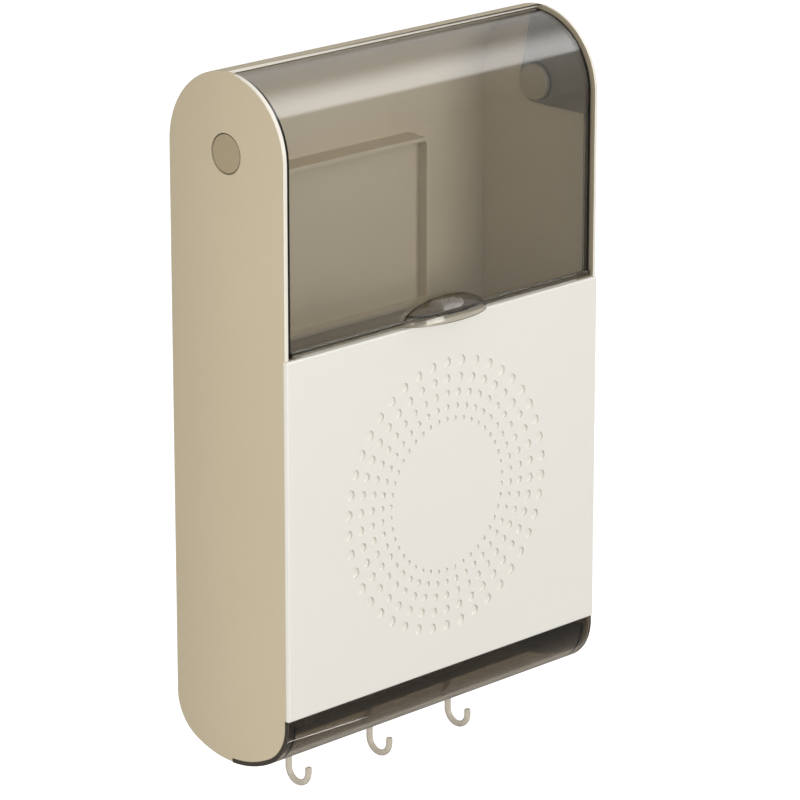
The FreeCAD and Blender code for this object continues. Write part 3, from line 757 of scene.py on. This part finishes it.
def lid_sheet():
    """Quarter round over the top, flat front and the lip along the lower edge, in one outline."""
    outline = SideOutline("lid_sheet", -LID_HALF, MIDDLE - LID_OUTER, LID_LOW)
    outline.line_to(MIDDLE - LID_OUTER, PIVOT_Z)
    outline.arc_round(MIDDLE, PIVOT_Z, -90 - LID_TUCK, LARGE_STEPS)
    angle = math.radians(90 - LID_TUCK)
    outline.line_to(MIDDLE + LID_INNER * math.cos(angle), PIVOT_Z + LID_INNER * math.sin(angle))
    outline.arc_round(MIDDLE, PIVOT_Z, 90 + LID_TUCK, LARGE_STEPS)
    outline.line_to(MIDDLE - LID_INNER, LID_LOW + LIP_HEIGHT)
    outline.line_to(MIDDLE - LID_OUTER + LIP_RUN, LID_LOW + LIP_HEIGHT)
    outline.line_to(MIDDLE - LID_OUTER + LIP_RUN, LID_LOW)
    outline.line_to(MIDDLE - LID_OUTER, LID_LOW)
    sheet = outline.solid(LID_HALF)
    round_edges(
        sheet,
        lambda a, b: abs(a.x - b.x) < NEAR and on_lid_outside(a) and on_lid_outside(b),
        LID_EDGE_ROUND, 5,
    )
    round_edges(sheet, is_lid_end, LID_END_ROUND, 3)
    return sheet


def lid_ear(side):
    """Side plate with a round boss at the pivot and a flange down the front."""
    reach = LID_OUTER - LID_EDGE_ROUND + 0.2
    tuck = math.radians(90 - LID_TUCK)
    touch = tuck - math.acos(EAR_BOSS / reach)
    x = side * (LID_HALF - 0.05)
    inner_x = side * (LID_HALF - EAR_THICKNESS)
    outline = SideOutline("ear", x, MIDDLE + reach * math.cos(tuck), PIVOT_Z + reach * math.sin(tuck))
    outline.line_to(MIDDLE + EAR_BOSS * math.cos(touch), PIVOT_Z + EAR_BOSS * math.sin(touch))
    outline.arc_round(MIDDLE, PIVOT_Z, -math.degrees(touch) - 90, LARGE_STEPS)
    outline.line_to(MIDDLE - LID_OUTER + FLANGE_RUN, PIVOT_Z - EAR_BOSS)
    outline.line_to(MIDDLE - LID_OUTER + FLANGE_RUN, LID_LOW + 1.0)
    outline.line_to(MIDDLE - reach, LID_LOW + 1.0)
    outline.line_to(MIDDLE - reach, PIVOT_Z)
    outline.arc_round(MIDDLE, PIVOT_Z, -90 - LID_TUCK, LARGE_STEPS)
    ear = outline.solid(inner_x)
    round_edges(ear, lambda a, b: abs(a.x - inner_x) < NEAR and abs(b.x - inner_x) < NEAR, 0.3, 2)
    return ear


def stretched_ball(name, half_x, half_y, half_z):
    """Ball stretched to three half sizes, at the middle of the lid's lower front edge."""
    select_nothing()
    bpy.ops.mesh.primitive_uv_sphere_add(segments=96, ring_count=48, radius=1.0, location=(0, 0, 0))
    ball = bpy.context.object
    ball.name = name
    bpy.ops.object.mode_set(mode="EDIT")
    bpy.ops.transform.rotate(value=math.pi / 2, orient_axis="Y", center_override=(0, 0, 0))
    bpy.ops.transform.resize(value=metres((half_x, half_y, half_z)))
    bpy.ops.transform.translate(value=metres((0, MIDDLE - LID_OUTER, LID_LOW)))
    leave_edit()
    return ball


def lid_handle():
    """Cup-shaped finger pull, open below."""
    cup = stretched_ball("handle_cup", HANDLE_HALF, HANDLE_REACH, HANDLE_HEIGHT)
    hollow = [size - HANDLE_WALL for size in (HANDLE_HALF, HANDLE_REACH, HANDLE_HEIGHT)]
    cut(cup, stretched_ball("handle_hollow", *hollow))
    keep = block(
        "handle_zone",
        (-HANDLE_HALF - PAST, MIDDLE - LID_OUTER - HANDLE_REACH - PAST, LID_LOW),
        (HANDLE_HALF + PAST, MIDDLE - LID_OUTER + 1.1, LID_LOW + HANDLE_HEIGHT + PAST),
    )
    return combine(cup, keep, "INTERSECT")


def lid_bead(side):
    """Rounded bead along the lower front edge, beside the handle."""
    front = MIDDLE - LID_OUTER
    low_x, high_x = sorted((side * (HANDLE_HALF - 1.0), side * (LID_HALF - LID_EDGE_ROUND)))
    bead = block("bead", (low_x, front - BEAD, LID_LOW + 0.05), (high_x, front + 1.0, LID_LOW + BEAD_HEIGHT))
    round_edges(bead, lambda a, b: max(a.y, b.y) < front - BEAD + 0.01, 0.6, 3)
    return bead


def make_lid():
    lid = lid_sheet()
    for side in (-1, 1):
        unite(lid, lid_ear(side))
        unite(lid, lid_bead(side))
    unite(lid, lid_handle())
    span = HALF_WIDTH + PAST
    cut(lid, round_bar("pivot_hole", (-span, MIDDLE, PIVOT_Z), "X", LID_BORE, 2 * span, 64))
    return lid


def is_ear(middle, normal):
    return abs(middle.x) > LID_HALF - EAR_THICKNESS - 0.2 and abs(normal.x) > 0.9


def is_lid_edge(middle, normal):
    """Strip along the lid's side edges, painted near black: painted shade for the dark line where the ears
    stand behind it.
    """
    reach = MIDDLE - middle.y
    if middle.z > PIVOT_Z:
        reach = math.hypot(middle.y - MIDDLE, middle.z - PIVOT_Z)
    on_strip = abs(middle.x) > LID_HALF - EDGE_STRIP and abs(normal.x) < 0.9
    return on_strip and reach > LID_OUTER - LID_EDGE_ROUND


def is_handle(middle, normal):
    return middle.y < MIDDLE - LID_OUTER - 0.2 and abs(middle.x) < HANDLE_HALF


def is_handle_rim(middle, normal):
    """Lower part of the handle, given a paler tint: painted light standing in for the panel that shows through
    it.
    """
    return is_handle(middle, normal) and middle.z < LID_LOW + HANDLE_RIM


lid = make_lid()
tidy(lid)
for side in (-1, 1):
    edit(lid)
    bpy.ops.mesh.select_all(action="SELECT")
    bpy.ops.mesh.bisect(plane_co=metres((side * (LID_HALF - EDGE_STRIP), 0, 0)), plane_no=(1, 0, 0))
    leave_edit()
soften(lid, 0)
dress(lid, "lid", "lid", smoke)
# Ears painted with a darker tint: painted shade.
paint_faces(lid, ear_painted_shade, is_ear)
# Side edge strips painted near black: painted shade.
paint_faces(lid, lid_edge_painted_shade, is_lid_edge)
# Handle cup painted with a darker tint: painted shade.
paint_faces(lid, handle_painted_shade, is_handle)
# Lower part of the handle painted paler: painted light.
paint_faces(lid, handle_rim_painted_light, is_handle_rim)


# Pivots

PIVOT_SET_BACK = 0.5
PIVOT_STEPS = ((12.0, 2.4), (8.0, 2.0), (5.0, 1.6))
PIVOT_EDGE_ROUND = 0.75
PIVOT_FACE = 11.2


def stepped_disc(name, x, inward, steps, edge_round):
    """Disc that steps in along X, drawn by extruding and insetting one face; steps are (radius, length)."""
    first_radius, first_length = steps[0]
    disc = round_bar(name, (x, MIDDLE, PIVOT_Z), "X", first_radius, inward * first_length, 64)
    face_x = x + inward * first_length
    previous = first_radius
    for radius, length in steps[1:]:
        edit(disc)
        bpy.ops.mesh.select_mode(type="FACE")
        bpy.ops.mesh.select_all(action="DESELECT")
        form = bmesh.from_edit_mesh(disc.data)
        for face in form.faces:
            if abs(face.calc_center_median().x / MM - face_x) < NEAR:
                face.select_set(True)
        bmesh.update_edit_mesh(disc.data)
        bpy.ops.mesh.inset(thickness=(previous - radius) * MM, depth=0)
        bpy.ops.mesh.extrude_region_move(TRANSFORM_OT_translate={"value": metres((inward * length, 0, 0))})
        leave_edit()
        face_x += inward * length
        previous = radius
    soften(disc, edge_round, segments=3)
    return disc


def is_pivot_rim(middle, normal):
    return math.hypot(middle.y - MIDDLE, middle.z - PIVOT_Z) > PIVOT_FACE and abs(normal.x) < 0.97


for name, side in (("left", -1), ("right", 1)):
    pivot = stepped_disc(
        "pivot_" + name, side * (HALF_WIDTH - PIVOT_SET_BACK), -side, PIVOT_STEPS, PIVOT_EDGE_ROUND
    )
    dress(pivot, "lid", "lid_pivot_" + name, pivot_smoke)
    # Rim of the pivot disc painted dark: painted shade.
    paint_faces(pivot, pivot_rim_painted_shade, is_pivot_rim)


# Drip tray

TUB_INNER = TUB_HALF - 2.0
TUB_RIM = -255.0
TUB_FLOOR = -277.5
TUB_REAR = -18.0


def tray_sheet():
    """Curved front sheet, as wide as the housing."""
    outline = SideOutline("tray_sheet", -HALF_WIDTH, FRONT, TRAY_HIGH)
    outline.line_to(FRONT, SPRING_Z)
    outline.arc_round(MIDDLE - CORNER_RUN, SPRING_Z, ARCH_TURN, LARGE_STEPS)
    outline.arc_round(MIDDLE, SPRING_Z + ARCH_RISE, 90 - ARCH_TURN, LARGE_STEPS)
    outline.line_to(MIDDLE, BOTTOM + TRAY_SHEET)
    outline.arc_round(MIDDLE, SPRING_Z + ARCH_RISE, ARCH_TURN - 90, LARGE_STEPS)
    outline.arc_round(MIDDLE - CORNER_RUN, SPRING_Z, -ARCH_TURN, LARGE_STEPS)
    outline.line_to(FRONT + TRAY_SHEET, TRAY_HIGH)
    outline.line_to(FRONT, TRAY_HIGH)
    return outline.solid(HALF_WIDTH)


def tub_end(side):
    """End wall with its sliding flange."""
    inset = TRAY_SHEET - TRAY_GAP
    low_x, high_x = sorted((side * TUB_INNER, side * TUB_HALF))
    end = side_solid("tub_end", inset, low_x, high_x)
    zone = block(
        "end_zone", (low_x - PAST, FRONT - PAST, BOTTOM - PAST), (high_x + PAST, MIDDLE - 0.5, TUB_RIM)
    )
    combine(end, zone, "INTERSECT")
    unite(end, block("end_rear", (low_x, MIDDLE - 1.5, TUB_FLOOR), (high_x, TUB_REAR, TUB_RIM)))
    low_x, high_x = sorted((side * (TUB_INNER + 0.6), side * (TUB_HALF + 3.0)))
    unite(end, block("flange", (low_x, -72.0, -265.2), (high_x, TUB_REAR - 0.1, -263.2)))
    return end


def make_tray():
    tray = tray_sheet()
    for side in (-1, 1):
        unite(tray, tub_end(side))
    inner = TUB_INNER + 1.0
    for name, y_low, y_high, z_low, z_high in (
        ("tub_riser", MIDDLE - 2.0, MIDDLE - 0.05, BOTTOM + 1.3, TUB_FLOOR + 2.0),
        ("tub_floor", MIDDLE - 1.0, TUB_REAR - 1.0, TUB_FLOOR + 0.05, TUB_FLOOR + 1.95),
        ("tub_rear", TUB_REAR - 2.0, TUB_REAR - 0.05, TUB_FLOOR + 0.1, TUB_RIM - 0.05),
    ):
        unite(tray, block(name, (-inner, y_low, z_low), (inner, y_high, z_high)))
    return tray


def is_sheet_end(middle, normal):
    return abs(middle.x) > HALF_WIDTH - 0.5 and abs(normal.x) > 0.3


def is_tub_end(middle, normal):
    return abs(abs(middle.x) - TUB_HALF + 1.0) < 1.2 and abs(normal.x) > 0.9


tray = make_tray()
tidy(tray)
soften(tray, 0.3)
dress(tray, "tray", "drip_tray", tray_smoke)
# Ends of the tray sheet painted dark: painted shade.
paint_faces(tray, tray_end_painted_shade, is_sheet_end)
# Tub end walls painted with a darker tint: painted shade.
paint_faces(tray, tub_end_painted_shade, is_tub_end)


# Hooks

HOOK_ROD = 1.99
HOOK_BEND = 8.5
HOOK_BEND_Z = -311.5
HOOK_STEM_TOP = -278.6
HOOK_TIP = 2.2
TIP_ROUNDS = 6
COLLAR_LOW = -289.0
COLLAR_RADIUS = 4.0
COLLAR_HEIGHT = 1.4


def make_hook(name, x):
    """Round rod: stem, half turn to the front, short tip with a rounded end, and a collar under the housing."""
    select_nothing()
    bpy.ops.mesh.primitive_circle_add(
        vertices=24, radius=HOOK_ROD * MM, fill_type="NGON", location=(0, 0, 0)
    )
    hook = bpy.context.object
    hook.name = "hook_rod_" + name
    bpy.ops.object.mode_set(mode="EDIT")
    bpy.ops.transform.translate(value=metres((x, HOOK_Y, HOOK_STEM_TOP)))
    step = metres((0, 0, HOOK_BEND_Z - HOOK_STEM_TOP))
    bpy.ops.mesh.extrude_region_move(TRANSFORM_OT_translate={"value": step})
    bpy.ops.mesh.spin(
        steps=28, angle=math.pi, center=metres((x, HOOK_Y - HOOK_BEND, HOOK_BEND_Z)), axis=(1, 0, 0)
    )
    bpy.ops.mesh.extrude_region_move(TRANSFORM_OT_translate={"value": metres((0, 0, HOOK_TIP))})
    end = Vector((x, HOOK_Y - 2 * HOOK_BEND, HOOK_BEND_Z + HOOK_TIP))
    for index in range(TIP_ROUNDS):
        angle = math.pi / 2 * (index + 1) / (TIP_ROUNDS + 0.5)
        before = math.pi / 2 * index / (TIP_ROUNDS + 0.5)
        rise = HOOK_ROD * (math.sin(angle) - math.sin(before))
        shrink = math.cos(angle) / math.cos(before)
        bpy.ops.mesh.extrude_region_move(TRANSFORM_OT_translate={"value": metres((0, 0, rise))})
        bpy.ops.transform.resize(value=(shrink, shrink, shrink), center_override=metres(end))
    bpy.ops.mesh.select_all(action="SELECT")
    bpy.ops.mesh.remove_doubles(threshold=0.000005)
    bpy.ops.mesh.normals_make_consistent(inside=False)
    leave_edit()
    collar = round_bar("collar", (x, HOOK_Y, COLLAR_LOW), "Z", COLLAR_RADIUS, COLLAR_HEIGHT, 40)
    round_edges(collar, lambda a, b: max(a.z, b.z) < COLLAR_LOW + 0.1, 0.5, 3)
    unite(hook, collar)
    soften(hook, 0)
    return hook


for name, x in HOOK_PLACES.items():
    dress(make_hook(name, x), "holder", "hook_" + name, hook_smoke)


# Finishes of the pieces that stay as they are

for names, material in (
    (("basket", "divider_left", "divider_middle", "divider_right"), inner_grey),
    (("wall_plate",), plate_beige),
    (("wall_pad",), foam),
    (("wall_bumper_left", "wall_bumper_right", "lid_bumper_left", "lid_bumper_right"), soft_rubber),
    (("hook_retainer_left", "hook_retainer_middle", "hook_retainer_right"), steel),
    (("pivot_cap_left", "pivot_cap_right"), pivot_smoke),
):
    for node in names:
        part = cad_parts[node]
        part.data.materials.clear()
        part.data.materials.append(material)


# Stage, light and camera

WORLD_LIGHT = 0.46


def seen_straight(tree, path):
    """Value of 1 on rays from the camera, also past a clear piece."""
    return larger_of(tree, path.outputs["Is Camera Ray"], path.outputs["Is Transmission Ray"])


def studio_world():
    """White where it is seen, fading towards the horizon in reflections, and plain grey as a light."""
    world = bpy.data.worlds.new("studio")
    bpy.context.scene.world = world
    world.use_nodes = True
    tree = world.node_tree
    sky = tree.nodes["Background"]
    sky.inputs["Color"].default_value = (1.0, 1.0, 1.0, 1.0)
    sky.inputs["Strength"].default_value = WORLD_LIGHT
    white = tree.nodes.new("ShaderNodeBackground")
    white.inputs["Color"].default_value = (1.0, 1.0, 1.0, 1.0)
    place = tree.nodes.new("ShaderNodeTexCoord")
    split = tree.nodes.new("ShaderNodeSeparateXYZ")
    fade = tree.nodes.new("ShaderNodeMapRange")
    fade.interpolation_type = "SMOOTHSTEP"
    fade.inputs["From Max"].default_value = 0.9
    fade.inputs["To Min"].default_value = 0.3
    path = tree.nodes.new("ShaderNodeLightPath")
    straight = seen_straight(tree, path)
    choose = tree.nodes.new("ShaderNodeMixShader")
    tree.links.new(place.outputs["Generated"], split.inputs["Vector"])
    tree.links.new(split.outputs["Z"], fade.inputs["Value"])
    tree.links.new(larger_of(tree, straight, fade.outputs["Result"]), white.inputs["Strength"])
    tree.links.new(larger_of(tree, straight, path.outputs["Is Glossy Ray"]), choose.inputs["Fac"])
    tree.links.new(sky.outputs["Background"], choose.inputs[1])
    tree.links.new(white.outputs["Background"], choose.inputs[2])
    tree.links.new(choose.outputs["Shader"], tree.nodes["World Output"].inputs["Surface"])


FLOOR_DROP = 0.5


def pale_floor():
    """Floor below the hooks: white where it is seen, with the holder's soft shadow, and grey as a light."""
    select_nothing()
    bpy.ops.mesh.primitive_plane_add(size=16, location=(0, 0, cad_box[0][2] - FLOOR_DROP))
    floor = bpy.context.object
    floor.name = "floor"
    material, tree, shader = new_material("floor_white")
    shader.inputs["Base Color"].default_value = (0.86, 0.86, 0.86, 1.0)
    shader.inputs["Roughness"].default_value = 0.9
    glow = tree.nodes.new("ShaderNodeEmission")
    glow.inputs["Strength"].default_value = 0.7
    both = tree.nodes.new("ShaderNodeAddShader")
    grey = tree.nodes.new("ShaderNodeBsdfDiffuse")
    grey.inputs["Color"].default_value = (0.42, 0.41, 0.39, 1.0)
    path = tree.nodes.new("ShaderNodeLightPath")
    choose = tree.nodes.new("ShaderNodeMixShader")
    tree.links.new(shader.outputs["BSDF"], both.inputs[0])
    tree.links.new(glow.outputs["Emission"], both.inputs[1])
    tree.links.new(seen_straight(tree, path), choose.inputs["Fac"])
    tree.links.new(grey.outputs["BSDF"], choose.inputs[1])
    tree.links.new(both.outputs["Shader"], choose.inputs[2])
    tree.links.new(choose.outputs["Shader"], tree.nodes["Material Output"].inputs["Surface"])
    floor.data.materials.append(material)


def soft_box(name, place, aim, width, height, watts):
    """Rectangular studio lamp that looks at a point; places and sizes are in metres."""
    bpy.ops.object.light_add(type="AREA", location=place)
    lamp = bpy.context.object
    lamp.name = name
    lamp.data.shape = "RECTANGLE"
    lamp.data.size = width
    lamp.data.size_y = height
    lamp.data.energy = watts
    lamp.visible_camera = False
    direction = Vector(aim) - Vector(place)
    lamp.rotation_euler = direction.to_track_quat("-Z", "Y").to_euler()
    return lamp


def fade_ends(lamp):
    """Lets a lamp's light fade quickly at its front edge and slowly towards its back edge."""
    lamp.data.use_nodes = True
    tree = lamp.data.node_tree
    place = tree.nodes.new("ShaderNodeNewGeometry")
    split = tree.nodes.new("ShaderNodeSeparateXYZ")
    both = tree.nodes.new("ShaderNodeMath")
    both.operation = "MULTIPLY"
    tree.links.new(place.outputs["Parametric"], split.inputs["Vector"])
    for index, (dark, full) in enumerate(((0.0, 0.2), (1.0, 0.35))):
        fade = tree.nodes.new("ShaderNodeMapRange")
        fade.interpolation_type = "SMOOTHSTEP"
        fade.inputs["From Min"].default_value = dark
        fade.inputs["From Max"].default_value = full
        tree.links.new(split.outputs["Y"], fade.inputs["Value"])
        tree.links.new(fade.outputs["Result"], both.inputs[index])
    tree.links.new(both.outputs["Value"], tree.nodes["Emission"].inputs["Strength"])


def photo_camera():
    """Long lens at the photograph's viewing angle; places and distance are in metres."""
    azimuth = math.radians(-45.28)
    elevation = math.radians(17.04)
    distance = 2.6876
    aim = Vector((0.0093, -0.04925, -0.095))
    away = Vector(
        (
            math.sin(azimuth) * math.cos(elevation),
            -math.cos(azimuth) * math.cos(elevation),
            math.sin(elevation),
        )
    )
    bpy.ops.object.camera_add(location=aim + distance * away)
    camera = bpy.context.object
    camera.rotation_euler = (-away).to_track_quat("-Z", "Y").to_euler()
    camera.data.sensor_width = 36.0
    camera.data.lens = 202.5
    camera.data.clip_end = 50.0
    bpy.context.scene.camera = camera


select_nothing()
studio_world()
pale_floor()
soft_box("left_box", (-0.31, -0.1, -0.33), (-0.13, -0.1, -0.33), width=0.08, height=1.2, watts=0.62)
soft_box("fill_box", (-0.9, -0.9, 0.5), (0, -0.05, 0.03), width=0.5, height=0.5, watts=3.0)
soft_box("front_box", (0.5, -2.15, 0.45), (0, -0.05, -0.08), width=1.0, height=1.0, watts=22.5)
soft_box("streak_box", (0.276, -0.268, -0.666), (-0.1, -0.07, -0.27), width=0.1, height=0.01, watts=0.03)
band_box = soft_box("band_box", (1.33, -0.5, 1.3), (1.33, -0.5, 0.0), width=0.86, height=1.4, watts=12.5)
fade_ends(band_box)
photo_camera()
bpy.context.scene.view_settings.view_transform = "Standard"
